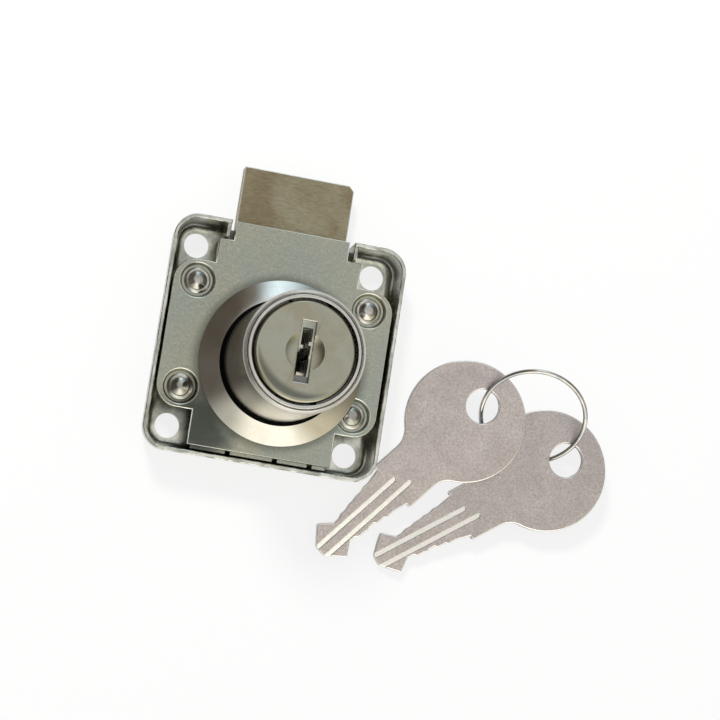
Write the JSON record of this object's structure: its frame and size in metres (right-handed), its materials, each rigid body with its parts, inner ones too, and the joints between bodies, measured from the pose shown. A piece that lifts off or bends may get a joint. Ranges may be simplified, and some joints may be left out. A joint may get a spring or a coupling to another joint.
{
  "type": "furniture lock",
  "caption": "Surface-mounted drawer lock: a square pressed case with a riveted cover, a round keyed barrel with a loose trim ring, a sliding bolt, and flat keys on a wire ring.",
  "frame": {"origin": "on the barrel's axis, in the plane of the case's flat back", "axes": "+Z along the barrel, out of the case; +Y the way the bolt comes out; +X to the right as seen from the barrel's front"},
  "size_m": [0.0804, 0.0633, 0.0277],
  "materials": {
    "plated_steel": "satin zinc plating over pressed steel sheet",
    "rivet_steel": "plated steel with a polished dome",
    "bolt_steel": "bare drawn steel, slightly stained",
    "chrome": "polished nickel-chrome plating",
    "zinc": "plain die-cast zinc",
    "satin_cap": "satin pressed steel cap",
    "spring_steel": "plain spring steel",
    "brass": "stamped brass",
    "nickel": "matt nickel plating, finely pitted",
    "ring_wire": "bright drawn wire"
  },
  "bodies": {
    "case": {"case_tray": "plated_steel", "cover_plate": "plated_steel", "case_rivets": "rivet_steel", "barrel": "chrome"},
    "bolt": {"bolt": "bolt_steel"},
    "plug": {"plug": "zinc", "plug_cap": "satin_cap", "plug_clip": "spring_steel", "wafer_spring_1": "spring_steel", "wafer_spring_2": "spring_steel", "wafer_spring_3": "spring_steel", "wafer_spring_4": "spring_steel", "wafer_spring_5": "spring_steel"},
    "wafer_1": {"wafer_1": "brass"},
    "wafer_2": {"wafer_2": "brass"},
    "wafer_3": {"wafer_3": "brass"},
    "wafer_4": {"wafer_4": "brass"},
    "wafer_5": {"wafer_5": "brass"},
    "trim_ring": {"trim_ring": "chrome"},
    "key_ring": {"key_ring": "ring_wire"},
    "key_a": {"key_a": "nickel"},
    "key_b": {"key_b": "nickel"}
  },
  "joints": [
    {"name": "plug_turn", "type": "hinge", "parent": "case", "child": "plug", "pos_m": [0, 0, 0], "axis": [0, 0, 1], "range_deg": [0, 180]},
    {"name": "bolt_slide", "type": "slide", "parent": "case", "child": "bolt", "axis": [0, 1, 0], "range_m": [-0.0098, 0]},
    {"name": "trim_ring_lift", "type": "slide", "parent": "case", "child": "trim_ring", "axis": [0, 0, 1], "range_m": [0, 0.026]},
    {"name": "wafer_1_slide", "type": "slide", "parent": "plug", "child": "wafer_1", "axis": [0, 1, 0], "range_m": [0, 0.0009]},
    {"name": "wafer_2_slide", "type": "slide", "parent": "plug", "child": "wafer_2", "axis": [0, 1, 0], "range_m": [0, 0.0009]},
    {"name": "wafer_3_slide", "type": "slide", "parent": "plug", "child": "wafer_3", "axis": [0, 1, 0], "range_m": [0, 0.0009]},
    {"name": "wafer_4_slide", "type": "slide", "parent": "plug", "child": "wafer_4", "axis": [0, 1, 0], "range_m": [0, 0.0009]},
    {"name": "wafer_5_slide", "type": "slide", "parent": "plug", "child": "wafer_5", "axis": [0, 1, 0], "range_m": [0, 0.0009]},
    {"name": "key_set_lift", "type": "slide", "parent": "case", "child": "key_ring", "axis": [0, 0, 1], "range_m": [0, 0.04]},
    {"name": "key_a_swivel", "type": "hinge", "parent": "key_ring", "child": "key_a", "pos_m": [0.0356, -0.001, 0.00415], "axis": [-0.0704, -0.0866, 0.9937], "range_deg": [-1, 4.4]},
    {"name": "key_b_swivel", "type": "hinge", "parent": "key_ring", "child": "key_b", "pos_m": [0.05185, -0.0075, 0.00256], "axis": [-0.055, -0.0409, 0.9976], "range_deg": [-1.5, 60]}
  ],
  "couplings": [
    {"joint": "bolt_slide", "follows": "plug_turn", "m_per_rad": -0.003119}
  ]
}
